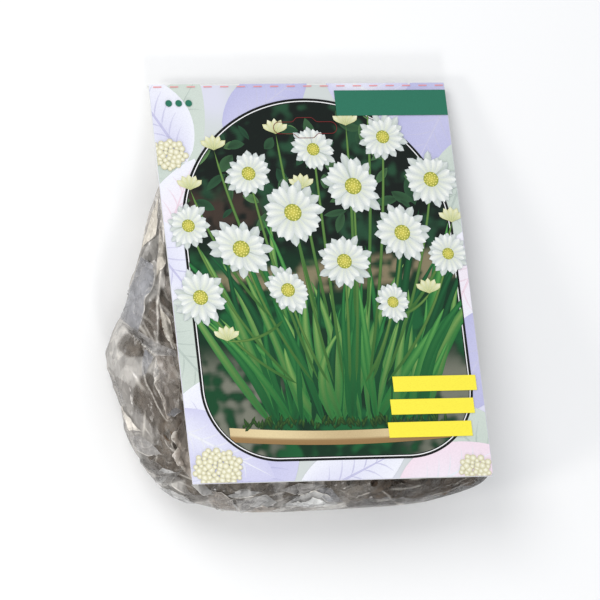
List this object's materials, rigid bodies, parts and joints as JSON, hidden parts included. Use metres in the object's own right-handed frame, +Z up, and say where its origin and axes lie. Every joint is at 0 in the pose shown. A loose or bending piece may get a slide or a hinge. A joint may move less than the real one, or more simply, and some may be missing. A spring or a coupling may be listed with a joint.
{
  "type": "bagged perennial rootstocks with picture card",
  "caption": "Clear crinkled film bag of fleshy brown perennial rootstocks behind a folded picture card; lies on its back as a low wedge.",
  "frame": {"origin": "on the surface that the pack rests on, below the middle of the card", "axes": "+Z up, +Y along the pack from the filled end of the bag towards the card's crease, +X to the right seen from above with the crease ahead"},
  "size_m": [0.1843, 0.2066, 0.06],
  "materials": {
    "card": "coated board, semi-gloss print",
    "film": "clear crinkled film, glossy creases",
    "glue": "dried adhesive",
    "root": "dull, wrinkled fleshy root"
  },
  "bodies": {
    "root": {"card": "card", "bag": "film", "glue_front": "glue", "glue_rear": "glue", "rootstock_1": "root", "rootstock_2": "root", "rootstock_3": "root"}
  },
  "joints": []
}
